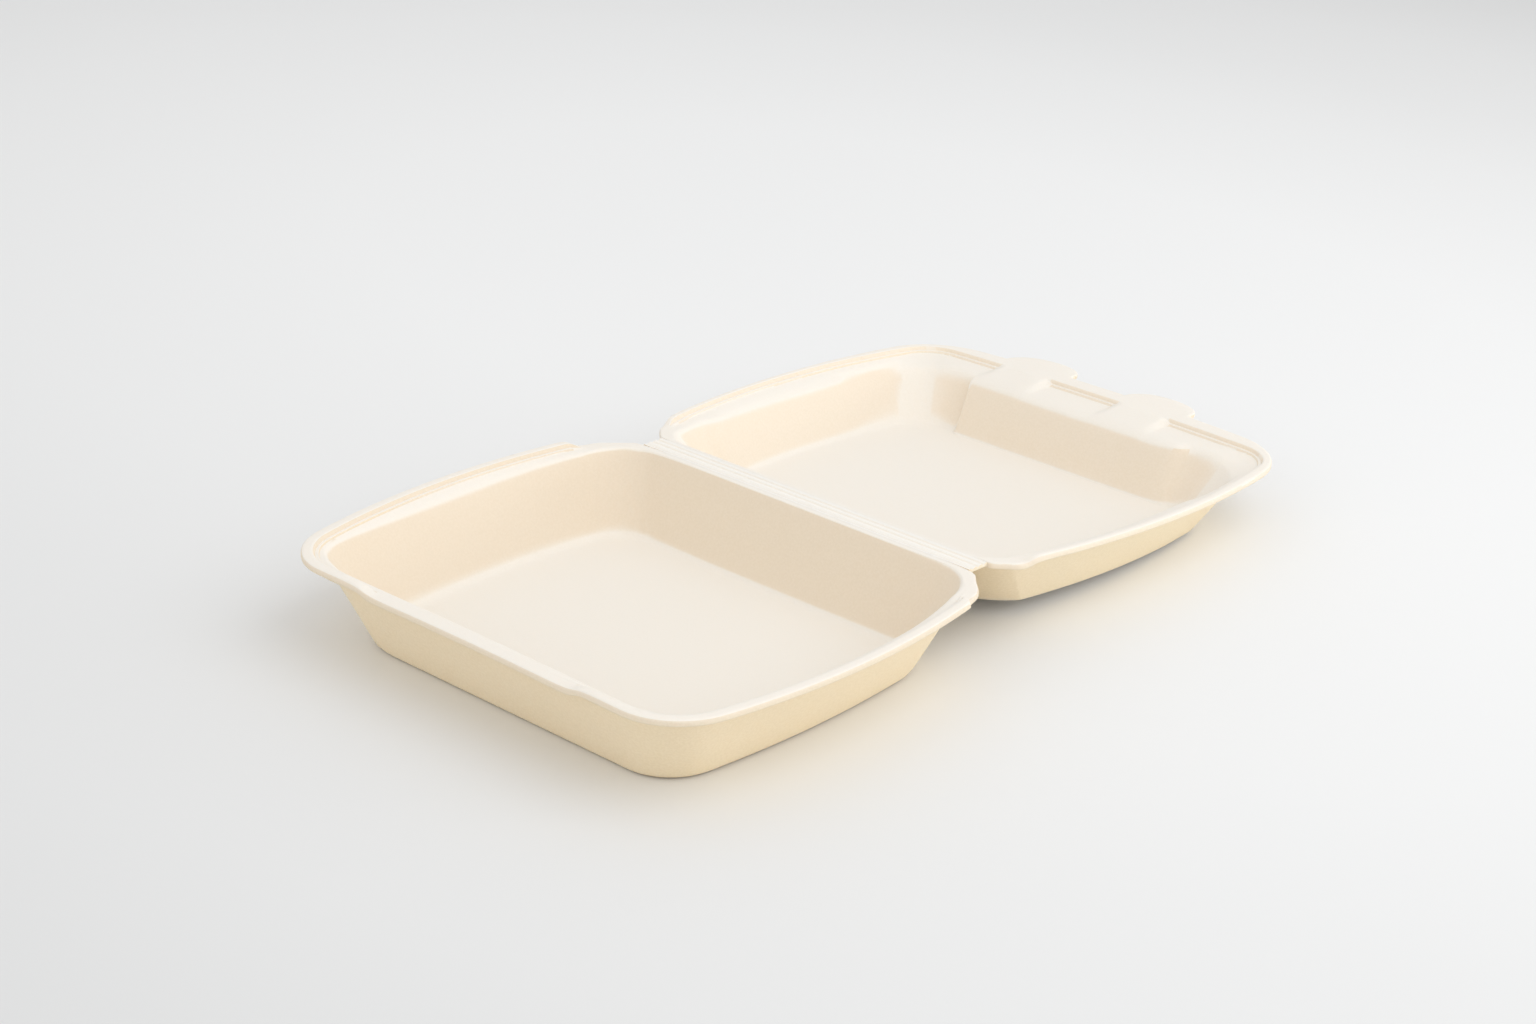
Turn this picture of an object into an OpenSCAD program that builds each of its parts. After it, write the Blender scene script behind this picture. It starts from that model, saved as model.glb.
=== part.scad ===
/* [Foam] */
// Thickness of the foam wall
wall_t = 2.6; // [1.8:0.1:4]
// Thickness of the two flat panels, the base's floor and the lid's top
panel_t = 3; // [2:0.1:5]
// Height of the raised lip above the flange
lip_rise = 2.5; // [0.8:0.1:3]
// Width of the ledge half way down the inside of the lip
ledge_w = 1.2; // [0.6:0.1:2]
// Gap between the two lips when the box is shut
rim_gap = 0.3; // [0.2:0.05:1]

/* [Base] */
// Width across the rim at its widest
base_w = 240; // [200:1:280]
// Depth from the hinge line to the front edge
base_d = 187.5; // [150:0.5:230]
// Height from the table to the top of the lip
base_h = 38.5; // [30:0.5:60]
// How far each side of the rim bows outwards
base_bow = 13; // [4:0.5:18]
// Corner radius of the rim at the front
base_front_r = 30; // [28:1:42]
// Corner radius of the rim at the hinge
base_hinge_r = 18; // [14:1:28]
// Width of the raised lip
base_lip_w = 4.8; // [3:0.1:6]
// Distance from the hinge line at which the raised lip begins
base_lip_start = 27; // [24:1:60]
// How far the rim steps in where the lip ends beside the hinge
base_notch = 3.8; // [0:0.2:5]
// Half the length of the dip in the front lip
dip_half = 56; // [30:1:60]
// Length of the slope at each end of the dip
dip_ramp = 6; // [3:0.5:12]
// How far the middle of the dipped edge stands back
dip_back = 2; // [0:0.5:3]
// Width of the rim at the middle of each side
base_side_rim = 16.8; // [12:0.2:22]
// Width of the rim at the front
base_front_rim = 9.2; // [7:0.2:12]
// How far the inner edge of each side bows outwards
base_mouth_bow = 6; // [3:0.5:12]
// Corner radius of the inner edge
base_mouth_r = 22; // [20:1:32]
// How far each side wall leans in on its way to the floor
base_side_run = 12.4; // [4:0.2:20]
// How far the front wall leans in
base_front_run = 12.6; // [4:0.2:20]
// How far the hinge wall leans in
base_hinge_run = 15; // [6:0.2:22]
// Corner radius of the floor
base_floor_r = 19; // [14:1:24]

/* [Lid] */
// Width across the rim at its widest
lid_w = 224; // [190:1:270]
// Depth from the hinge line to the far corners' edge
lid_d = 201; // [160:1:240]
// Height from the lip to the flat top
lid_h = 30.5; // [22:0.5:50]
// How far each side of the rim bows outwards
lid_bow = 12; // [4:0.5:18]
// How far the far edge bows outwards
lid_far_bow = 3; // [0:0.5:6]
// Corner radius of the rim at the far edge
lid_far_r = 38; // [30:1:46]
// Corner radius of the rim at the hinge
lid_hinge_r = 12; // [10:1:20]
// Width of the raised lip along each side
lid_lip_w = 3.7; // [2.5:0.1:6]
// Width of the raised lip along the far edge
lid_far_lip_w = 11; // [6:0.5:14]
// Corner radius of the lip's inner edge
lid_lip_r = 19; // [14:1:24]
// Distance from the hinge line at which the raised lip begins
lid_lip_start = 18; // [18:1:50]
// How far the rim steps in where the lip ends beside the hinge
lid_notch = 1.5; // [0:0.1:4]
// Width of the rim at the middle of each side
lid_side_rim = 14.5; // [11:0.2:20]
// Width of the rim at the far edge
lid_far_rim = 23; // [18:0.2:30]
// How far the inner edge of each side bows outwards
lid_mouth_bow = 8; // [3:0.5:12]
// Corner radius of the inner edge
lid_mouth_r = 21; // [16:1:26]
// How far each side wall leans in on its way to the flat top
lid_side_run = 10; // [5:0.2:18]
// How far the far wall leans in
lid_far_run = 12.6; // [8:0.2:20]
// How far the hinge wall leans in
lid_hinge_run = 15; // [6:0.2:22]
// Corner radius of the flat top
lid_floor_r = 15; // [12:1:20]

/* [Stiffening panels of the lid] */
// How far a side panel stands in from the wall
side_panel_t = 3.6; // [0:0.2:5]
// Where the side panels begin, from the hinge line
side_panel_start = 37; // [30:1:60]
// Where the side panels end, from the hinge line
side_panel_end = 131; // [90:1:140]
// How far the far panel stands in from the wall
far_panel_t = 6; // [0:0.2:7]
// Half the length of the far panel
far_panel_half = 58; // [30:1:60]

/* [Tabs] */
// Width of each lifting tab where it leaves the rim
tab_w = 36; // [24:1:42]
// How far each tab stands out from the rim
tab_len = 13; // [5:0.5:18]
// Distance between the middles of the two tabs
tab_pitch = 67; // [62:1:72]
// How far the pair of tabs stands off the middle
tab_shift = -8.5; // [-12:0.5:12]
// Length of the break in the lip's step behind each tab
tab_break = 24; // [10:1:30]

/* [Hinge] */
// Width of the pressed strip between the two rims
hinge_w = 10; // [7:0.5:14]
// Width of the rim beside the strip
hinge_rim = 3; // [2.5:0.1:5]
// Number of pressed grooves
groove_count = 3; // [2:1:5]
// Thickness of the pressed strip at its ridges
strip_t = 1.6; // [1.4:0.1:2.4]
// Foam left under each groove
web_t = 0.9; // [0.5:0.1:1.2]
// Flat of the ridge between two grooves
ridge_w = 0.9; // [0.5:0.1:1.2]

/* [Rounding] */
// Rounding where a wall meets its flat panel
floor_round = 4; // [3:0.5:9]
// Rounding where a wall meets the rim
mouth_round = 4; // [2:0.5:6]
// Rounding of the lip's edges
edge_round = 0.7; // [0.3:0.1:1]
// Length of the ramp where a lip or panel begins
ramp = 4; // [2:0.5:6]

/* [Hidden] */

// Facets along the round stretches
corner_steps = 7;
hinge_corner_steps = 4;
side_steps = 8;
round_steps = 3;
bend_steps = 4;

// Heights are measured from the hinge axis, which lies midway between the shut lips
axis_z = base_h + rim_gap / 2;
lip_z = -rim_gap / 2;
flange_z = lip_z - lip_rise;
hinge_half = hinge_w / 2;
// Width of the two steps between flange and lip, and the share of the rise that lies below the ledge
lip_step_w = 0.7;
foot_step_w = 0.5;
ledge_share = 0.35;
// Width from the middle of the lip's step to the foot on the flange
foot_w = lip_step_w / 2 + ledge_w + foot_step_w;
// Distance from the rim's edge in which its step beside the hinge dies away
notch_reach = 14;
// Share of the lip's width that the narrow rim beside the hinge has room for
hinge_pinch = 0.3;
// Where the lip's underside starts and ends its slope, as shares of the way from the rim's edge to the wall
under_lip = [0.33, 0.43];
// Most of a side of the section that one rounding may take
round_share = 0.48;
// Share of the inner rounding that the outside of a panel's edge has
outer_round = 0.8;
// Share of a stiffening panel's depth that is left at the flat top
panel_foot = 0.4;
// How square the tabs' ends are: 2 is an ellipse
tab_power = 2.3;
// How flat a corner is: 0 is an arc and 1 a straight chamfer
lid_corner_flat = 0.55;
hinge_corner_flat = 0.75;
// Shortest distance between two marks on an edge, and from a mark to the end of a side
mark_gap = 0.4;
// Shortest distance from a mark on the far edge to the corner beside it
corner_gap = 1;
// Length at each end of a side in which its marks may be drawn together
side_ease = 6;

// A ring is one level line of a shell. These are the places of its values.
HALF = 0;
BOW = 1;
FAR_EDGE = 2;
NEAR_EDGE = 3;
FAR_R = 4;
NEAR_R = 5;
HEIGHT = 6;
LIP = 7;
FILL = 8;
PANEL = 9;
TAB = 10;
FAR_FLAT = 11;
NEAR_FLAT = 12;
FAR_BOW = 13;
NOTCH = 14;
function ring(
    half, bow, far, near, far_r, near_r, z,
    far_flat = 0, near_flat = 0, far_bow = 0, notch = 0, panel = 0) =
    [half, bow, far, near, far_r, near_r, z, 0, 0, panel, 0, far_flat, near_flat, far_bow, notch];
function mix(a, b, t) = a + (b - a) * t;
// The same outline at another height
function level(v, z, lip = 0, fill = 0, tab = 0) = [
    v[HALF], v[BOW], v[FAR_EDGE], v[NEAR_EDGE], v[FAR_R], v[NEAR_R], z,
    lip, fill, 0, tab, v[FAR_FLAT], v[NEAR_FLAT], v[FAR_BOW], v[NOTCH]];
// The same outline moved in from its sides, far edge and near edge
function inset(v, side, far, near, far_r, near_r) = [
    v[HALF] - side, v[BOW], v[FAR_EDGE] - far, v[NEAR_EDGE] + near, far_r, near_r, v[HEIGHT],
    0, 0, 0, 0, v[FAR_FLAT], v[NEAR_FLAT], v[FAR_BOW], v[NOTCH] * (1 - side / notch_reach)];
function grown(v, d) = inset(v, -d, -d, -d, v[FAR_R] + d, v[NEAR_R] + d);
function shrunk(v, side, far) = inset(v, side, far, far, v[FAR_R], v[NEAR_R]);

// The bowed side is an arc of a large circle
function side_r(v) = (pow(v[FAR_EDGE] - v[NEAR_EDGE], 2) / 4 + v[BOW] * v[BOW]) / (2 * v[BOW]);
function mid_y(v) = (v[FAR_EDGE] + v[NEAR_EDGE]) / 2;
function side_x(v) = v[HALF] - side_r(v);
// A corner's radius, its place along the depth, and the direction in which it meets the side
function corner_r(v, far) = far ? v[FAR_R] : v[NEAR_R];
function corner_y(v, far) = far ? v[FAR_EDGE] - v[FAR_R] : v[NEAR_EDGE] + v[NEAR_R];
function corner_turn(v, far) = asin((corner_y(v, far) - mid_y(v)) / (side_r(v) - corner_r(v, far)));
function corner_x(v, far) = side_x(v) + (side_r(v) - corner_r(v, far)) * cos(corner_turn(v, far));

function on_corner(v, far, turn) =
    [corner_x(v, far), corner_y(v, far)] + corner_r(v, far) * [cos(turn), sin(turn)];
function corner_point(v, far, from, to, t) =
    mix(
        on_corner(v, far, mix(from, to, t)),
        mix(on_corner(v, far, from), on_corner(v, far, to), t),
        far ? v[FAR_FLAT] : v[NEAR_FLAT]);

// Distances from the hinge line between which a side runs
function side_ends(v) = [for (far = [false, true]) mid_y(v) + side_r(v) * sin(corner_turn(v, far))];
// A mark on the rim's side keeps its distance from the hinge line on every ring that reaches so far
function side_y(v, y, ends) =
    let (
        own = side_ends(v),
        low = own[0] + side_ease,
        high = own[1] - side_ease)
    y < low ? own[0] + side_ease * (y - ends[0]) / (low - ends[0]) :
    y > high ? own[1] - side_ease * (ends[1] - y) / (ends[1] - high) : y;
function on_side(v, y) =
    let (turn = asin((y - mid_y(v)) / side_r(v)))
    [side_x(v) + side_r(v) * cos(turn), y];

// Stations run round a shell from the middle of the hinge: [stretch, place, side]
HINGE = 0;
NEAR_CORNER = 1;
SIDE = 2;
FAR_CORNER = 3;
FAR = 4;
function sorted(list) =
    len(list) < 2 ? list :
    let (pivot = list[0])
    concat(
        sorted([for (a = list) if (a < pivot) a]),
        [pivot],
        sorted([for (a = list) if (a > pivot) a]));
function spaced(list) =
    let (row = sorted(list))
    [for (i = [0 : len(row) - 1]) if (i == 0 || row[i] - row[i - 1] > mark_gap) row[i]];
// Even places along a side, with its marks in place of those too near to them
function side_places(ends, marks) =
    let (
        kept = [for (m = marks) min(max(m, ends[0] + mark_gap), ends[1] - mark_gap)],
        step = (ends[1] - ends[0]) / side_steps)
    spaced(concat(kept, [
        for (i = [1 : side_steps - 1])
            let (y = ends[0] + i * step)
            if (min([for (m = kept) abs(m - y)]) > step / 4) y]));
function stations(places, far_marks) =
    let (right = concat(
        [[HINGE, 0], [HINGE, 0.5]],
        [for (i = [0 : hinge_corner_steps]) [NEAR_CORNER, i / hinge_corner_steps]],
        [for (y = places) [SIDE, y]],
        [for (i = [0 : corner_steps]) [FAR_CORNER, i / corner_steps]]))
    concat(
        [for (s = right) concat(s, 1)],
        [for (i = [len(far_marks) - 1 : -1 : 0]) [FAR, far_marks[i], 1]],
        [for (i = [len(right) - 1 : -1 : 1]) concat(right[i], -1)]);

// How far the far edge's marks are drawn together on a narrow ring
function squeeze(v, far_marks) = min(1, (corner_x(v, true) - corner_gap) / max([for (x = far_marks) abs(x)]));
// Plan position of a station on the right half of a ring
function plan(v, s, fit, ends) =
    s[0] == HINGE ? [corner_x(v, false) * s[1], v[NEAR_EDGE]] :
    s[0] == NEAR_CORNER ? corner_point(v, false, -90, corner_turn(v, false), s[1]) :
    s[0] == SIDE ? on_side(v, side_y(v, s[1], ends)) :
    s[0] == FAR_CORNER ? corner_point(v, true, corner_turn(v, true), 90, s[1]) :
    let (x = s[1] * fit)
    [x, v[FAR_EDGE] + v[FAR_BOW] * (1 - pow(x / corner_x(v, true), 2))];
// Direction in which panels stand in and tabs stand out
function outward(s) = s[0] == SIDE ? [1, 0] : s[0] == FAR ? [0, 1] : [0, 0];
// How far a station takes part in the rim's step beside the hinge
function notch_share(s) = s[0] == SIDE ? 1 : s[0] == NEAR_CORNER ? min(1, 2 * s[1]) : 0;
// One point of a shell: the marks at a station are [lip, filled step, panel, tab]
function point(v, s, marks, fit, ends) =
    let (
        p = plan(v, s, fit, ends) + outward(s) * (v[TAB] * marks[3] - v[PANEL] * marks[2]),
        x = p[0] - v[NOTCH] * notch_share(s) * (1 - marks[0]))
    [s[2] * x, p[1], v[HEIGHT] + lip_rise * marks[0] * mix(v[LIP], v[FILL], marks[1])];

// Rings round a corner of the section, as a curve that starts and ends on its two sides
function run_length(a, b) = max(norm([a[HALF] - b[HALF], a[HEIGHT] - b[HEIGHT]]), mark_gap);
function rounded(before, at, after, size, steps) =
    let (
        a = mix(at, before, min(round_share, size / run_length(at, before))),
        b = mix(at, after, min(round_share, size / run_length(at, after))))
    [for (i = [0 : steps]) let (t = i / steps) mix(mix(a, at, t), mix(at, b, t), t)];

// Level lines of a shell, from the middle of its panel up the inside, over the rim and down the outside.
// The lip is [width at the sides, width at the far edge, corner radius].
// Each control is [ring, rounding, steps].
function section(rim, mouth, floor, lip, depth) =
    let (
        rise = mouth[HEIGHT] - floor[HEIGHT],
        lean = (mouth[HALF] - floor[HALF]) / rise,
        skin = wall_t * sqrt(1 + lean * lean),
        under_z = flange_z - wall_t,
        low_z = lip_z - depth,
        lip_edges = [
            for (d = [foot_w, foot_w - foot_step_w, lip_step_w / 2, -lip_step_w / 2])
                inset(
                    rim, lip[0] + d, lip[1] + d, (lip[0] + d) * hinge_pinch,
                    lip[2] - d, rim[NEAR_R] - (lip[0] + d) * hinge_pinch)],
        lip_shares = [0, ledge_share, ledge_share, 1],
        outer_top = level(grown(mix(mouth, floor, wall_t / rise), skin), under_z),
        outer_low = level(grown(mix(mouth, floor, (mouth[HEIGHT] - low_z) / rise), skin), low_z),
        panel_edge = floor_round * 2,
        controls = [
            [shrunk(floor, panel_edge, floor_round), 0, 0],
            [floor, floor_round, round_steps],
            [mouth, mouth_round, round_steps],
            for (i = [0 : len(lip_edges) - 1]) [level(lip_edges[i], flange_z, lip_shares[i], 1), 0, 0],
            [level(rim, flange_z, 1, 1, 1), edge_round, 1],
            [level(rim, under_z, 1, 1, 1), 0, 0],
            [level(mix(rim, outer_top, under_lip[0]), under_z, 1, 1), 0, 0],
            [level(mix(rim, outer_top, under_lip[1]), under_z, 0, 1), 0, 0],
            [outer_top, mouth_round / 2, 2],
            [outer_low, floor_round * outer_round, round_steps],
            [shrunk(outer_low, panel_edge, floor_round), 0, 0]])
    [for (i = [0 : len(controls) - 1])
        each controls[i][2] == 0 ? [controls[i][0]] :
            rounded(controls[i - 1][0], controls[i][0], controls[i + 1][0], controls[i][1], controls[i][2])];

// A closed skin over the rings
module shell(rings, way, marks, far_marks, ends) {
    around = len(way);
    points = [
        for (v = rings)
            let (fit = squeeze(v, far_marks))
            each [for (i = [0 : around - 1]) point(v, way[i], marks[i], fit, ends)]];
    last = (len(rings) - 1) * around;
    sides = [
        for (j = [0 : len(rings) - 2], i = [0 : around - 1])
            let (
                a = j * around + i,
                b = j * around + (i + 1) % around,
                c = b + around,
                d = a + around)
            each [[a, c, d], [a, b, c]]];
    // Each cap is fanned from a place on the bowed side, where no three points are in line
    bowed = hinge_corner_steps + side_steps;
    caps = [
        [for (i = [around - 1 : -1 : 0]) (i + bowed) % around],
        [for (i = [0 : around - 1]) last + (i + bowed) % around]];
    polyhedron(points, concat(sides, caps), 6);
}

// Outlines of the base
base_rim = ring(
    base_w / 2, base_bow, base_d, hinge_half, base_front_r, base_hinge_r, flange_z,
    0, hinge_corner_flat, -dip_back, base_notch);
base_mouth = ring(
    base_w / 2 - base_side_rim, base_mouth_bow, base_d - base_front_rim, hinge_half + hinge_rim,
    base_mouth_r, base_floor_r, flange_z);
base_floor = ring(
    base_mouth[HALF] - base_side_run, base_mouth_bow, base_mouth[FAR_EDGE] - base_front_run,
    base_mouth[NEAR_EDGE] + base_hinge_run, base_floor_r, base_floor_r, lip_z - base_h + panel_t);
base_lip_front = min(base_lip_w, base_front_rim - dip_back - foot_w - mark_gap);
base_rings = section(
    base_rim, base_mouth, base_floor, [base_lip_w, base_lip_front, base_front_r - base_lip_w], base_h);
// The hinge axis lies this far behind the middle of the base's floor, which is the origin
hinge_y = mid_y(base_floor);

base_ends = side_ends(base_rim);
base_far_marks = spaced([
    for (u = [-1, 1], x = [0, dip_half / 3, dip_half * 2 / 3, dip_half, dip_half + dip_ramp]) u * x]);
base_way = stations(side_places(base_ends, [base_lip_start, base_lip_start + ramp]), base_far_marks);
function base_lip(s) =
    s[0] == SIDE ? (s[1] > base_lip_start ? 1 : 0) :
    s[0] == FAR_CORNER ? 1 :
    s[0] == FAR ? (abs(s[1]) > dip_half ? 1 : 0) : 0;
base_marks = [for (s = base_way) [base_lip(s), 0, 0, 0]];

module base_tray() {
    color("#efe3cd")
        translate([0, hinge_y, axis_z])
            mirror([0, 1, 0])
                shell(base_rings, base_way, base_marks, base_far_marks, base_ends);
}

// Outlines of the lid
lid_rim = ring(
    lid_w / 2, lid_bow, lid_d, hinge_half, lid_far_r, lid_hinge_r, flange_z,
    0, hinge_corner_flat, lid_far_bow, lid_notch);
lid_mouth = ring(
    lid_w / 2 - lid_side_rim, lid_mouth_bow, lid_d - lid_far_rim, hinge_half + hinge_rim,
    lid_mouth_r, lid_hinge_r - hinge_rim, flange_z, lid_corner_flat, lid_corner_flat, 0, 0, 1);
lid_floor = ring(
    lid_mouth[HALF] - lid_side_run, lid_mouth_bow, lid_mouth[FAR_EDGE] - lid_far_run,
    lid_mouth[NEAR_EDGE] + lid_hinge_run, lid_floor_r, lid_floor_r, lip_z - lid_h + panel_t,
    lid_corner_flat, lid_corner_flat, 0, 0, panel_foot);
lid_rings = section(lid_rim, lid_mouth, lid_floor, [lid_lip_w, lid_far_lip_w, lid_lip_r], lid_h);

tab_xs = [tab_shift - tab_pitch / 2, tab_shift + tab_pitch / 2];
tab_half = tab_w / 2;
tab_places = [0, 0.4, 0.8, 0.95, 1];
lid_ends = side_ends(lid_rim);
lid_side_marks = [
    lid_lip_start, lid_lip_start + ramp, side_panel_start, side_panel_start + ramp,
    side_panel_end - ramp, side_panel_end];
lid_far_marks = spaced(concat(
    [for (u = [-1, 1], x = [0, far_panel_half, far_panel_half + ramp]) u * x],
    [for (x = tab_xs, u = [-1, 1], t = tab_places) x + u * t * tab_half],
    [for (x = tab_xs, u = [-1, 1], t = [0, ramp]) x + u * (tab_break / 2 + t)]));
lid_way = stations(side_places(lid_ends, lid_side_marks), lid_far_marks);
function tab_off(x) = min([for (t = tab_xs) abs(x - t)]);
function tab_share(x) = pow(1 - pow(min(1, tab_off(x) / tab_half), tab_power), 1 / tab_power);
function lid_lip(s) =
    s[0] == SIDE ? (s[1] > lid_lip_start ? 1 : 0) :
    s[0] == FAR_CORNER || s[0] == FAR ? 1 : 0;
function lid_fill(s) = s[0] == FAR ? 1 - min(max((tab_off(s[1]) - tab_break / 2) / ramp, 0), 1) : 0;
function lid_panel(s) =
    s[0] == SIDE ? (s[1] > side_panel_start && s[1] < side_panel_end ? side_panel_t : 0) :
    s[0] == FAR ? (abs(s[1]) <= far_panel_half ? far_panel_t : 0) : 0;
function lid_tab(s) = s[0] == FAR ? tab_len * tab_share(s[1]) : 0;
lid_marks = [for (s = lid_way) [lid_lip(s), lid_fill(s), lid_panel(s), lid_tab(s)]];

// The open lid droops until the far edge of its flat top touches the table
droop_y = lid_rings[len(lid_rings) - 2][FAR_EDGE];
droop_z = lip_z - lid_h;
droop = atan2(droop_y, -droop_z) - acos(axis_z / norm([droop_y, droop_z]));

module lid() {
    color("#f1e6d2")
        translate([0, hinge_y, axis_z])
            rotate([-droop, 0, 0])
                shell(lid_rings, lid_way, lid_marks, lid_far_marks, lid_ends);
}

// Section of the pressed strip: it bends evenly from the base's rim to the drooping lid's
strip_half = min(corner_x(base_rim, false), corner_x(lid_rim, false));
groove_pitch = (hinge_w - ridge_w) / groove_count;
strip_top = [
    [-hinge_half, flange_z],
    for (i = [0 : groove_count - 1])
        let (y = -hinge_half + ridge_w / 2 + groove_pitch * i)
        each [
            [y + ridge_w / 2, flange_z],
            [y + ridge_w / 2 + (groove_pitch - ridge_w) / 2, flange_z - strip_t + web_t],
            [y + groove_pitch - ridge_w / 2, flange_z]],
    [hinge_half, flange_z]];
strip_under = [
    for (i = [bend_steps : -1 : 0]) [-hinge_half + hinge_w * i / bend_steps, flange_z - strip_t]];
function bent(p) =
    let (a = -droop * (p[0] + hinge_half) / hinge_w)
    [p[0] * cos(a) - p[1] * sin(a), p[0] * sin(a) + p[1] * cos(a)];

module live_hinge() {
    color("#f5ecda")
        translate([-strip_half, hinge_y, axis_z])
            rotate([90, 0, 90])
                linear_extrude(2 * strip_half)
                    polygon([for (p = concat(strip_top, strip_under)) bent(p)]);
}

base_tray();
live_hinge();
lid();
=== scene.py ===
"""Dresses the foam menu box: soft foam shells, the pressed strip between them and a white table."""

import logging
import math
from dataclasses import dataclass
from enum import Enum

import bmesh
import bpy
from mathutils import Matrix, Vector
from mathutils.geometry import convex_hull_2d
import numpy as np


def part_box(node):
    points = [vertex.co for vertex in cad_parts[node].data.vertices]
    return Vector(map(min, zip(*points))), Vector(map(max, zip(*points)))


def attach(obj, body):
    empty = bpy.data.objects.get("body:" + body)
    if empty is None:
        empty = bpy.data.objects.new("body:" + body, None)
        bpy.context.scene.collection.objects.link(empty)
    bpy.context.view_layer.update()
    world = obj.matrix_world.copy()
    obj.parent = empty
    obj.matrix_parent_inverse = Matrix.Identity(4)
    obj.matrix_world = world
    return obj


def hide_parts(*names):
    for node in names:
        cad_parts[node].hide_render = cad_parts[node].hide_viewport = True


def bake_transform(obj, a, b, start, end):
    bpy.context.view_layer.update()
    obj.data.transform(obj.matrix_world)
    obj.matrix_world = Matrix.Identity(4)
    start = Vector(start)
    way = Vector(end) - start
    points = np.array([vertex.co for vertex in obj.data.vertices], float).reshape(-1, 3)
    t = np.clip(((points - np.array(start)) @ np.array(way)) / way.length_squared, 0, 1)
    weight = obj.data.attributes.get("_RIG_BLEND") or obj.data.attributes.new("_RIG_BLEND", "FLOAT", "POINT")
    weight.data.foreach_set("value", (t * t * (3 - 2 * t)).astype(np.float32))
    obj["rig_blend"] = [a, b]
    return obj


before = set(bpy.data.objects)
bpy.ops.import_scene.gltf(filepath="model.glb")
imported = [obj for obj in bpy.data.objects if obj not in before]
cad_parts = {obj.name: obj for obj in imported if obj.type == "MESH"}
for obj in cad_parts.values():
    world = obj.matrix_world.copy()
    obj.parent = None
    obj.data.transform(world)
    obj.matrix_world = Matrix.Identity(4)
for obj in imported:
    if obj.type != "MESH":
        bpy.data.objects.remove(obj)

LOG = logging.getLogger("menu_box")
MERGE_DISTANCE = 2e-6
CUT_DISTANCE = 1e-6
OPEN_FACE = "open_face"
# Stops of the painted light and shade on the facing value: downward panels, outer walls, inner walls, level
# faces.
UNDERSIDE_GLOW_STOP, OUTER_GLOW_STOP, INNER_SHADE_STOP, TOP_LIT_STOP = 0.03, 0.18, 0.79, 0.87
FOLD_TURN = math.radians(28)
CORNER_SHARE = 0.55
WALL_LEAN = (0.15, 0.7)


class Body(Enum):
    """The two halves of the box that the hinge joins."""

    BASE = "base"
    LID = "lid"


@dataclass(frozen=True)
class FoamFinish:
    """One foam finish: tones painted with light and shade by which way a face turns (a warm glow on downward
    panels and outer walls, shade on inner walls, light on level faces), its grain and how far light soaks
    in.
    """

    name: str
    # Painted light and shade by which way a face turns: downward panels and outer walls painted with a warm
    # glow that stands for light through the foam, inner walls painted in shade, level faces painted paler as
    # if lit from above.
    underside_glow_tone: tuple[float, float, float] = (0.89, 0.82, 0.71)
    outer_wall_glow_tone: tuple[float, float, float] = (0.93, 0.795, 0.575)
    inner_wall_shade_tone: tuple[float, float, float] = (0.84, 0.74, 0.605)
    top_lit_tone: tuple[float, float, float] = (0.9, 0.85, 0.775)
    grain_tone: tuple[float, float, float] = (0.955, 0.945, 0.92)
    grain_stops: tuple[float, float] = (0.35, 0.65)
    grain_fade: tuple[float, float] = (-1.5, 1.7)
    cell: float = 0.0008
    bump: float = 0.00005
    bump_strength: float = 0.35
    roughness: float = 0.6
    specular: float = 0.25
    soak: float = 0.3
    soak_radius: tuple[float, float, float] = (1.0, 0.95, 0.9)
    soak_scale: float = 0.0015


@dataclass(frozen=True)
class TableFinish:
    """The white table's paint, with a painted pool of light: it greys away from its brightest place."""

    name: str = "white table"
    tone: tuple[float, float, float] = (0.885, 0.89, 0.89)
    brightest: tuple[float, float, float] = (-0.2, 0.4, 0.0)
    stretch: tuple[float, float, float] = (0.6, 1.0, 0.0)
    fade: tuple[tuple[float, float], ...] = (
        (0.22, 1.0),
        (0.4, 0.955),
        (0.5, 0.915),
        (0.62, 0.88),
        (0.9, 0.74),
    )
    roughness: float = 0.6
    specular: float = 0.2


# Painted light: the base's downward panels glow a strong orange, the lid's inner walls are painted lighter
# and the hinge's level faces paler.
TRAY_FOAM = FoamFinish("cream foam of the base", underside_glow_tone=(0.9, 0.72, 0.47))
LID_FOAM = FoamFinish("cream foam of the lid", inner_wall_shade_tone=(0.875, 0.78, 0.655))
HINGE_FOAM = FoamFinish("pressed foam of the hinge", top_lit_tone=(0.94, 0.9, 0.84), bump_strength=0.2)


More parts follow.
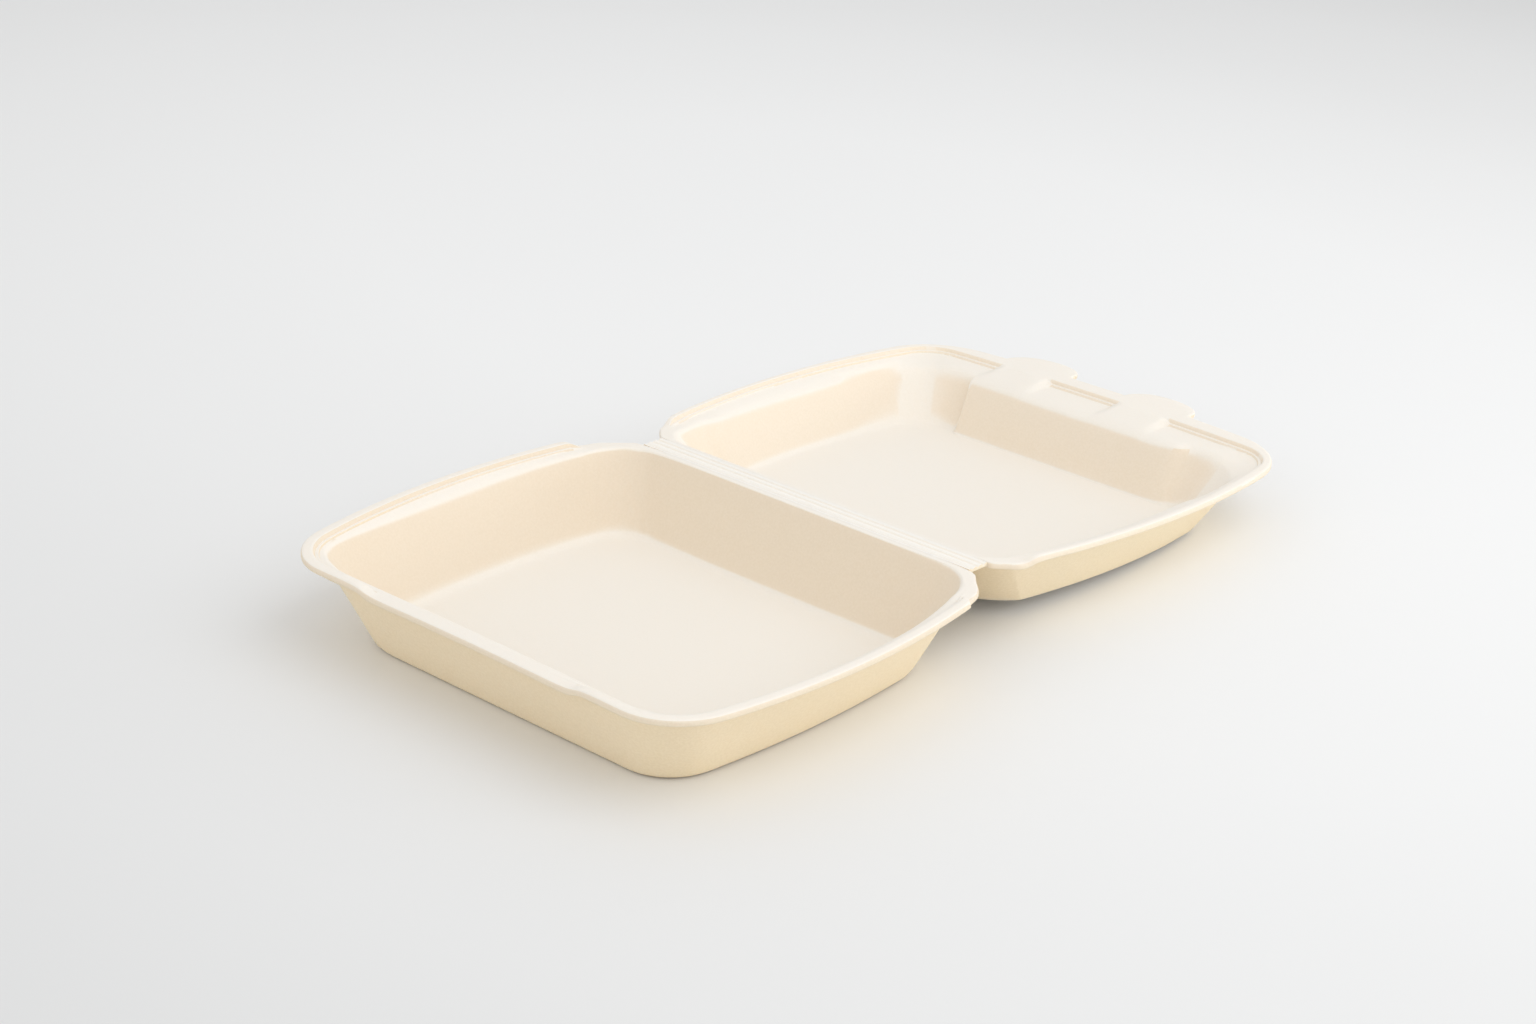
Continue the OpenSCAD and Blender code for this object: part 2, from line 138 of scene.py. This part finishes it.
class FoamGrain:
    """The fine cell pattern of moulded foam, as a node group that every foam material shares."""

    NAME = "foam grain"
    SMOOTHNESS = 0.6
    DETAIL = 3.0
    CLOUD_SHARE = 0.8
    CELL_SHARE = 0.5

    @classmethod
    def group(cls) -> bpy.types.ShaderNodeTree:
        """Builds the group on first use.

        Returns:
            The node group, with the input Scale and the outputs Height and Tone.
        """
        made = bpy.data.node_groups.get(cls.NAME)
        if made is not None:
            return made
        tree = bpy.data.node_groups.new(cls.NAME, "ShaderNodeTree")
        tree.interface.new_socket("Scale", in_out="INPUT", socket_type="NodeSocketFloat")
        tree.interface.new_socket("Height", in_out="OUTPUT", socket_type="NodeSocketFloat")
        tree.interface.new_socket("Tone", in_out="OUTPUT", socket_type="NodeSocketFloat")
        nodes, links = tree.nodes, tree.links
        given = nodes.new("NodeGroupInput")
        out = nodes.new("NodeGroupOutput")
        place = nodes.new("ShaderNodeTexCoord")
        cells = nodes.new("ShaderNodeTexVoronoi")
        cells.feature = "SMOOTH_F1"
        cells.inputs["Smoothness"].default_value = cls.SMOOTHNESS
        clouds = nodes.new("ShaderNodeTexNoise")
        clouds.inputs["Detail"].default_value = cls.DETAIL
        wide = nodes.new("ShaderNodeMath")
        wide.operation = "MULTIPLY"
        wide.inputs[1].default_value = cls.CLOUD_SHARE
        blend = nodes.new("ShaderNodeMath")
        blend.operation = "MULTIPLY_ADD"
        blend.inputs[1].default_value = cls.CELL_SHARE
        links.new(place.outputs["Object"], cells.inputs["Vector"])
        links.new(place.outputs["Object"], clouds.inputs["Vector"])
        links.new(given.outputs["Scale"], cells.inputs["Scale"])
        links.new(given.outputs["Scale"], wide.inputs[0])
        links.new(wide.outputs["Value"], clouds.inputs["Scale"])
        links.new(cells.outputs["Distance"], blend.inputs[0])
        links.new(clouds.outputs["Fac"], blend.inputs[2])
        links.new(blend.outputs["Value"], out.inputs["Height"])
        links.new(clouds.outputs["Fac"], out.inputs["Tone"])
        return tree


class FoamMaterial:
    """Turns a foam finish into a material."""

    def __init__(self, finish: FoamFinish) -> None:
        """Keeps the finish.

        Args:
            finish: The foam finish to paint.
        """
        self.finish = finish

    def build(self) -> bpy.types.Material:
        """Builds the material.

        Returns:
            The new material.
        """
        finish = self.finish
        material = bpy.data.materials.new(finish.name)
        material.use_nodes = True
        nodes, links = material.node_tree.nodes, material.node_tree.links
        shader = nodes["Principled BSDF"]
        grain = nodes.new("ShaderNodeGroup")
        grain.node_tree = FoamGrain.group()
        grain.inputs["Scale"].default_value = 1.0 / finish.cell
        speckle = nodes.new("ShaderNodeValToRGB")
        speckle.color_ramp.elements[0].position = finish.grain_stops[0]
        speckle.color_ramp.elements[0].color = (*finish.grain_tone, 1.0)
        speckle.color_ramp.elements[1].position = finish.grain_stops[1]
        speckle.color_ramp.elements[1].color = (1.0, 1.0, 1.0, 1.0)
        # Painted light and shade: the colour ramp follows which way each face turns.
        facing = nodes.new("ShaderNodeAttribute")
        facing.attribute_name = OPEN_FACE
        tones = nodes.new("ShaderNodeValToRGB")
        tones.color_ramp.interpolation = "EASE"
        tones.color_ramp.elements[0].position = OUTER_GLOW_STOP
        tones.color_ramp.elements[0].color = (*finish.outer_wall_glow_tone, 1.0)
        tones.color_ramp.elements[1].position = TOP_LIT_STOP
        tones.color_ramp.elements[1].color = (*finish.top_lit_tone, 1.0)
        tones.color_ramp.elements.new(INNER_SHADE_STOP).color = (*finish.inner_wall_shade_tone, 1.0)
        tones.color_ramp.elements.new(UNDERSIDE_GLOW_STOP).color = (*finish.underside_glow_tone, 1.0)
        paint = nodes.new("ShaderNodeMix")
        paint.data_type = "RGBA"
        paint.blend_type = "MULTIPLY"
        calm = nodes.new("ShaderNodeMath")
        calm.operation = "MULTIPLY_ADD"
        calm.use_clamp = True
        calm.inputs[1].default_value = finish.grain_fade[0]
        calm.inputs[2].default_value = finish.grain_fade[1]
        bump = nodes.new("ShaderNodeBump")
        bump.inputs["Strength"].default_value = finish.bump_strength
        bump.inputs["Distance"].default_value = finish.bump
        links.new(grain.outputs["Tone"], speckle.inputs["Fac"])
        links.new(facing.outputs["Fac"], tones.inputs["Fac"])
        links.new(tones.outputs["Color"], paint.inputs["A"])
        links.new(facing.outputs["Fac"], calm.inputs[0])
        links.new(calm.outputs["Value"], paint.inputs["Factor"])
        links.new(speckle.outputs["Color"], paint.inputs["B"])
        links.new(paint.outputs["Result"], shader.inputs["Base Color"])
        links.new(grain.outputs["Height"], bump.inputs["Height"])
        links.new(bump.outputs["Normal"], shader.inputs["Normal"])
        shader.inputs["Roughness"].default_value = finish.roughness
        shader.inputs["Specular IOR Level"].default_value = finish.specular
        shader.inputs["Subsurface Weight"].default_value = finish.soak
        shader.inputs["Subsurface Radius"].default_value = finish.soak_radius
        shader.inputs["Subsurface Scale"].default_value = finish.soak_scale
        return material


def mark_painted_light_facing(bm: bmesh.types.BMesh, corner_highlight: float = 0.0) -> None:
    """Notes on each face corner how far it faces the open side of the unfolded box: 0 is away, 1 towards.
    This value picks the painted light and shade of the foam.

    Args:
        bm: The mesh to mark.
        corner_highlight: How much paler the inside corners are painted, a painted highlight where those
            faces catch the light.
    """
    bm.normal_update()
    layer = bm.loops.layers.float.new(OPEN_FACE)
    for face in bm.faces:
        for loop in face.loops:
            soft = loop.vert.normal
            facing = soft if soft.angle(face.normal, 0.0) < FOLD_TURN else face.normal
            x, y, z = abs(soft.x), abs(soft.y), facing.z
            on_wall = WALL_LEAN[0] < z < WALL_LEAN[1]
            # Painted highlight: inside wall corners are painted paler.
            inside_corner = on_wall and min(x, y) > CORNER_SHARE * math.hypot(x, y)
            loop[layer] = (1 + z) / 2 + (corner_highlight if inside_corner else 0.0)


def finished_object(name: str, bm: bmesh.types.BMesh, material: bpy.types.Material) -> bpy.types.Object:
    """Makes an object at the origin from a bmesh, smooth shaded.

    Args:
        name: Name of the piece.
        bm: The finished bmesh, which is freed.
        material: The material of the whole piece.

    Returns:
        The new object, linked to the scene.
    """
    mesh = bpy.data.meshes.new(name)
    bm.to_mesh(mesh)
    bm.free()
    stale = mesh.attributes.get("custom_normal")
    if stale is not None:
        mesh.attributes.remove(stale)
    mesh.materials.clear()
    mesh.materials.append(material)
    for face in mesh.polygons:
        face.use_smooth = True
        face.material_index = 0
    made = bpy.data.objects.new(name, mesh)
    bpy.context.scene.collection.objects.link(made)
    return made


def node_copy(node: str) -> bmesh.types.BMesh:
    """Copies a CAD node's mesh with its loose triangles merged.

    Args:
        node: Name of the CAD node.

    Returns:
        The merged bmesh.
    """
    bm = bmesh.new()
    bm.from_mesh(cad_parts[node].data)
    bmesh.ops.remove_doubles(bm, verts=bm.verts[:], dist=MERGE_DISTANCE)
    return bm


def clamped(share: float) -> float:
    """Keeps a share between 0 and 1.

    Args:
        share: The share, which may lie outside.

    Returns:
        The nearest share from 0 to 1.
    """
    return min(max(share, 0.0), 1.0)


def eased(value: float, start: float, end: float) -> float:
    """Rises softly from 0 at the start to 1 at the end.

    Args:
        value: Where to read the rise.
        start: Where it leaves 0.
        end: Where it reaches 1.

    Returns:
        The share reached.
    """
    share = clamped((value - start) / (end - start))
    return share * share * (3 - 2 * share)


@dataclass(frozen=True)
class SoftShoulder:
    """The round shoulder by which the foam falls from the foot of the side lips into the side walls.

    Attributes:
        foot: Distance in from the rim at which the shoulder starts.
        wall: Distance in from the rim at which it is full.
        outward: How far it moves out at most.
        drop: How far it sinks at most.
        low: Level at which, and below which, nothing moves.
        high: Level from which all of it moves.
        side: Shares of the way out along X between which a place comes to count as a side.
        hinge_fade: Places along Y between which it grows, away from the hinge.
        fall: Droop of the half for each metre beyond fall_from.
        fall_from: Place along Y where the droop starts.
        swell: Power by which the move outward slows towards the wall.
        sink: Power by which the drop grows towards the wall.
    """

    foot: float = 0.0068
    wall: float = 0.017
    outward: float = 0.0044
    drop: float = 0.002
    low: float = 0.003
    high: float = 0.033
    side: tuple[float, float] = (0.25, 0.9)
    hinge_fade: tuple[float, float] = (0.082, 0.035)
    fall: float = 0.0
    fall_from: float = 0.0
    swell: float = 2.0
    sink: float = 1.5

    def apply(self, bm: bmesh.types.BMesh) -> None:
        """Rounds the shoulders of a shell, leaving its rim, floor, front and hinge end as they are.

        Args:
            bm: The shell to round.
        """
        plan = [vert.co.xy for vert in bm.verts]
        rim = [plan[i] for i in convex_hull_2d(plan)]
        for vert, spot in zip(bm.verts, plan):
            near = [self.nearest(spot, start, end) for start, end in zip(rim, rim[1:] + rim[:1])]
            edge = min(near, key=lambda point: (point - spot).length)
            inward = (edge - spot).length
            share = clamped((inward - self.foot) / (self.wall - self.foot))
            if share == 0.0:
                continue
            out = (edge - spot) / inward
            held = eased(abs(out.x), *self.side) * eased(spot.y, *self.hinge_fade)
            height = vert.co.z + self.fall * (spot.y - self.fall_from)
            held *= clamped((height - self.low) / (self.high - self.low))
            shift = out * self.outward * held * (1 - (1 - share) ** self.swell)
            vert.co += Vector((shift.x, shift.y, -self.drop * held * share**self.sink))

    @staticmethod
    def nearest(spot: Vector, start: Vector, end: Vector) -> Vector:
        """Finds the point of a straight run of the rim that is nearest to a spot.

        Args:
            spot: The spot in plan.
            start: Where the run starts.
            end: Where the run ends.

        Returns:
            The nearest point in plan.
        """
        run = end - start
        along = clamped((spot - start).dot(run) / max(run.length_squared, MERGE_DISTANCE**2))
        return start + run * along


# Painted highlight: the lid's inside corners are painted paler, where their faces catch the light.
LID_CORNER_HIGHLIGHT = 0.1
BASE_SHOULDER = SoftShoulder()
LID_SHOULDER = SoftShoulder(
    foot=0.0056,
    wall=0.0165,
    outward=0.0036,
    drop=0.0017,
    low=0.0115,
    high=0.0323,
    hinge_fade=(0.108, 0.155),
    fall=0.0487,
    fall_from=0.0943,
)


@dataclass
class FoamShell:
    """One formed half of the box: the CAD shell, made smooth as moulded foam is."""

    name: str
    node: str
    body: Body
    slot: str
    finish: FoamFinish
    levels: int = 2
    fold_angle: float = math.radians(14.5)
    fold_crease: float = 0.32
    corner_highlight: float = 0.0
    edge_angle: float = math.radians(50)
    edge_crease: float = 0.5
    upright_angle: float = math.radians(75)
    upright_share: float = 0.5
    shoulder: SoftShoulder | None = None

    def mesh(self) -> bmesh.types.BMesh:
        """Gives the shell as quads, with its folds and cut edges creased.

        Returns:
            The control mesh for the smoothing.
        """
        bm = node_copy(self.node)
        if self.shoulder is not None:
            self.shoulder.apply(bm)
        bmesh.ops.join_triangles(
            bm,
            faces=bm.faces[:],
            angle_face_threshold=math.pi,
            angle_shape_threshold=math.pi,
        )
        crease = bm.edges.layers.float.new("crease_edge")
        for edge in bm.edges:
            turn = edge.calc_face_angle(0.0)
            run = edge.verts[1].co - edge.verts[0].co
            upright = abs(run.z) > self.upright_share * run.length
            if turn > (self.upright_angle if upright else self.fold_angle):
                edge[crease] = self.edge_crease if turn > self.edge_angle else self.fold_crease
        mark_painted_light_facing(bm, self.corner_highlight)
        return bm

    def build(self) -> bpy.types.Object:
        """Builds the shell and ties it to its body.

        Returns:
            The finished piece.
        """
        shell = finished_object(self.name, self.mesh(), FoamMaterial(self.finish).build())
        smooth = shell.modifiers.new("soft foam", "SUBSURF")
        smooth.levels = self.levels
        smooth.render_levels = self.levels
        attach(shell, self.body.value)
        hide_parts(self.node)
        LOG.info("%s: %d faces before smoothing", self.name, len(shell.data.polygons))
        return shell


@dataclass
class HingeStrip:
    """The pressed strip between the two rims, which bends as the lid shuts."""

    name: str
    node: str
    slot: str
    finish: FoamFinish
    cuts: int = 18
    tuck: float = 0.0004
    groove_round: float = 0.0002
    ridge_angle: float = math.radians(20)
    flat_angle: float = math.radians(1)
    sharp_angle: float = math.radians(40)
    long_run: float = 0.1
    groove_shade: float = 0.84
    groove_shade_depth: float = 0.0004
    groove_lean: float = 0.2

    def mesh(self, low: Vector, high: Vector) -> bmesh.types.BMesh:
        """Gives the strip with rounded grooves and enough cuts to bend, tucked into both rims.

        Args:
            low: Lowest corner of the CAD strip.
            high: Highest corner of the CAD strip.

        Returns:
            The strip's mesh.
        """
        bm = node_copy(self.node)
        bmesh.ops.dissolve_limit(bm, angle_limit=self.flat_angle, verts=bm.verts[:], edges=bm.edges[:])
        long_edges = [
            edge
            for edge in bm.edges
            if abs(edge.verts[0].co.x - edge.verts[1].co.x) > self.long_run
            and edge.calc_face_angle(0.0) > self.ridge_angle
            and low.y + self.tuck < edge.verts[0].co.y < high.y - self.tuck
        ]
        bmesh.ops.bevel(
            bm,
            geom=long_edges,
            offset=self.groove_round,
            offset_type="OFFSET",
            affect="EDGES",
            segments=2,
            profile=0.5,
            material=-1,
        )
        middle = (low.y + high.y) / 2
        widen = 1 + 2 * self.tuck / (high.y - low.y)
        bmesh.ops.scale(
            bm,
            vec=(1.0, widen, 1.0),
            space=Matrix.Translation((0.0, -middle, 0.0)),
            verts=bm.verts[:],
        )
        for i in range(1, self.cuts):
            y = low.y + (high.y - low.y) * i / self.cuts
            bmesh.ops.bisect_plane(
                bm,
                geom=bm.verts[:] + bm.edges[:] + bm.faces[:],
                dist=CUT_DISTANCE,
                plane_co=(0.0, y, 0.0),
                plane_no=(0.0, 1.0, 0.0),
            )
        mark_painted_light_facing(bm)
        # Painted shade: faces down in the grooves are painted one fixed tone, a little darker than the level
        # top.
        layer = bm.loops.layers.float[OPEN_FACE]
        for face in bm.faces:
            if face.normal.z < self.groove_lean:
                continue
            for loop in face.loops:
                if loop.vert.co.z < high.z - self.groove_shade_depth:
                    loop[layer] = self.groove_shade
        return bm

    def build(self) -> bpy.types.Object:
        """Builds the strip and lets it bend between the two halves.

        Returns:
            The finished piece.
        """
        low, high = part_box(self.node)
        strip = finished_object(self.name, self.mesh(low, high), FoamMaterial(self.finish).build())
        strip.data.set_sharp_from_angle(angle=self.sharp_angle)
        height = (low.z + high.z) / 2
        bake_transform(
            strip,
            Body.BASE.value,
            Body.LID.value,
            (0.0, low.y, height),
            (0.0, high.y, height),
        )
        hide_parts(self.node)
        LOG.info("%s: %d faces", self.name, len(strip.data.polygons))
        return strip


@dataclass
class StudioTable:
    """The plain white table top under the box."""

    finish: TableFinish
    half: float = 6.0
    gap: float = 0.0002

    def material(self) -> bpy.types.Material:
        """Builds the paint, with its painted pool of light.

        Returns:
            The new material.
        """
        finish = self.finish
        material = bpy.data.materials.new(finish.name)
        material.use_nodes = True
        nodes, links = material.node_tree.nodes, material.node_tree.links
        shader = nodes["Principled BSDF"]
        place = nodes.new("ShaderNodeTexCoord")
        step = nodes.new("ShaderNodeVectorMath")
        step.operation = "SUBTRACT"
        step.inputs[1].default_value = finish.brightest
        oval = nodes.new("ShaderNodeVectorMath")
        oval.operation = "MULTIPLY"
        oval.inputs[1].default_value = finish.stretch
        away = nodes.new("ShaderNodeVectorMath")
        away.operation = "LENGTH"
        # Painted pool of light: the table greys with distance from its brightest place.
        fade = nodes.new("ShaderNodeValToRGB")
        stops = fade.color_ramp.elements
        while len(stops) < len(finish.fade):
            stops.new(0.5)
        for stop, (position, dim) in zip(stops, finish.fade):
            stop.position = position
            stop.color = (*(tone * dim for tone in finish.tone), 1.0)
        links.new(place.outputs["Object"], step.inputs[0])
        links.new(step.outputs["Vector"], oval.inputs[0])
        links.new(oval.outputs["Vector"], away.inputs[0])
        links.new(away.outputs["Value"], fade.inputs["Fac"])
        links.new(fade.outputs["Color"], shader.inputs["Base Color"])
        shader.inputs["Roughness"].default_value = finish.roughness
        shader.inputs["Specular IOR Level"].default_value = finish.specular
        return material

    def build(self) -> bpy.types.Object:
        """Builds the table top.

        Returns:
            The stage piece.
        """
        bm = bmesh.new()
        bmesh.ops.create_grid(bm, x_segments=1, y_segments=1, size=self.half)
        bmesh.ops.translate(bm, vec=(0.0, 0.0, -self.gap), verts=bm.verts[:])
        table = finished_object("white_table", bm, self.material())
        LOG.info("white table: %.1f m wide", 2 * self.half)
        return table


@dataclass(frozen=True)
class SoftBox:
    """One large soft lamp that looks at the box."""

    name: str
    place: tuple[float, float, float]
    width: float
    height: float
    power: float
    tint: tuple[float, float, float] = (1.0, 1.0, 1.0)

    def build(self, target: Vector) -> bpy.types.Object:
        """Builds the lamp.

        Args:
            target: Point that the lamp faces.

        Returns:
            The lamp's object.
        """
        lamp = bpy.data.lights.new(self.name, "AREA")
        lamp.shape = "RECTANGLE"
        lamp.size = self.width
        lamp.size_y = self.height
        lamp.energy = self.power
        lamp.color = self.tint
        made = bpy.data.objects.new(self.name, lamp)
        made.location = self.place
        made.rotation_mode = "QUATERNION"
        made.rotation_quaternion = (target - Vector(self.place)).to_track_quat("-Z", "Y")
        bpy.context.scene.collection.objects.link(made)
        return made


LAMPS = (
    SoftBox("overhead soft box", (1.2, 0.4, 1.4), 1.8, 1.8, 10.8),
    SoftBox("low window", (1.25, 1.15, 0.22), 1.8, 0.36, 4.6),
    SoftBox("front soft box", (0.3, -1.8, 1.0), 1.6, 1.2, 3.4),
)


@dataclass(frozen=True)
class WhiteRoom:
    """The white room round the table: its light, and the white that the camera sees."""

    light: float = 0.8
    tint: tuple[float, float, float] = (1.0, 1.0, 1.0)
    seen: tuple[float, float, float] = (0.9, 0.905, 0.905)

    def build(self) -> bpy.types.World:
        """Builds the world.

        Returns:
            The scene's world.
        """
        world = bpy.data.worlds.new("white room")
        bpy.context.scene.world = world
        world.use_nodes = True
        nodes, links = world.node_tree.nodes, world.node_tree.links
        lit = nodes["Background"]
        lit.inputs["Color"].default_value = (*self.tint, 1.0)
        lit.inputs["Strength"].default_value = self.light
        seen = nodes.new("ShaderNodeBackground")
        seen.inputs["Color"].default_value = (*self.seen, 1.0)
        seen.inputs["Strength"].default_value = 1.0
        path = nodes.new("ShaderNodeLightPath")
        pick = nodes.new("ShaderNodeMixShader")
        links.new(path.outputs["Is Camera Ray"], pick.inputs["Fac"])
        links.new(lit.outputs["Background"], pick.inputs[1])
        links.new(seen.outputs["Background"], pick.inputs[2])
        links.new(pick.outputs["Shader"], nodes["World Output"].inputs["Surface"])
        return world


@dataclass(frozen=True)
class StudioCamera:
    """The camera at the photograph's angle, aimed past the hinge line."""

    azimuth: float = math.radians(43.237)
    elevation: float = math.radians(23.497)
    roll: float = math.radians(0.8)
    distance: float = 1.28606
    aside: float = 0.01593
    above: float = -0.02829
    lens: float = 73.043
    sensor: float = 36.0
    clip: tuple[float, float] = (0.05, 50.0)

    def build(self, aim: Vector) -> bpy.types.Object:
        """Builds the camera and makes it the scene's.

        Args:
            aim: Point of the box that the camera's place is measured from.

        Returns:
            The camera's object.
        """
        level = math.cos(self.elevation)
        back = Vector(
            (
                math.sin(self.azimuth) * level,
                -math.cos(self.azimuth) * level,
                math.sin(self.elevation),
            )
        )
        flat_right = Vector((math.cos(self.azimuth), math.sin(self.azimuth), 0.0))
        flat_up = back.cross(flat_right)
        right = flat_right * math.cos(self.roll) + flat_up * math.sin(self.roll)
        up = flat_up * math.cos(self.roll) - flat_right * math.sin(self.roll)
        data = bpy.data.cameras.new("photo camera")
        data.lens = self.lens
        data.sensor_width = self.sensor
        data.clip_start, data.clip_end = self.clip
        camera = bpy.data.objects.new("photo camera", data)
        place = aim + back * self.distance - right * self.aside - up * self.above
        turn = Matrix((right, up, back)).transposed().to_4x4()
        camera.matrix_world = Matrix.Translation(place) @ turn
        bpy.context.scene.collection.objects.link(camera)
        bpy.context.scene.camera = camera
        return camera


def main() -> None:
    """Builds the box, the table, the light and the camera, in that order."""
    logging.basicConfig(level=logging.INFO, format="%(message)s")
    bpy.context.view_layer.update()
    strip_low, strip_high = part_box("live_hinge")
    hinge_line = Vector((0.0, (strip_low.y + strip_high.y) / 2, 0.0))
    base = FoamShell(
        "foam_base",
        "base_tray",
        Body.BASE,
        "tray_foam",
        TRAY_FOAM,
        shoulder=BASE_SHOULDER,
    )
    base.build()
    lid = FoamShell(
        "foam_lid",
        "lid",
        Body.LID,
        "lid_foam",
        LID_FOAM,
        corner_highlight=LID_CORNER_HIGHLIGHT,
        shoulder=LID_SHOULDER,
    )
    lid.build()
    HingeStrip("pressed_hinge_strip", "live_hinge", "hinge_foam", HINGE_FOAM).build()
    StudioTable(TableFinish()).build()
    for lamp in LAMPS:
        lamp.build(hinge_line)
    WhiteRoom().build()
    StudioCamera().build(hinge_line)
    bpy.context.scene.view_settings.view_transform = "Standard"


if __name__ == "__main__":
    main()
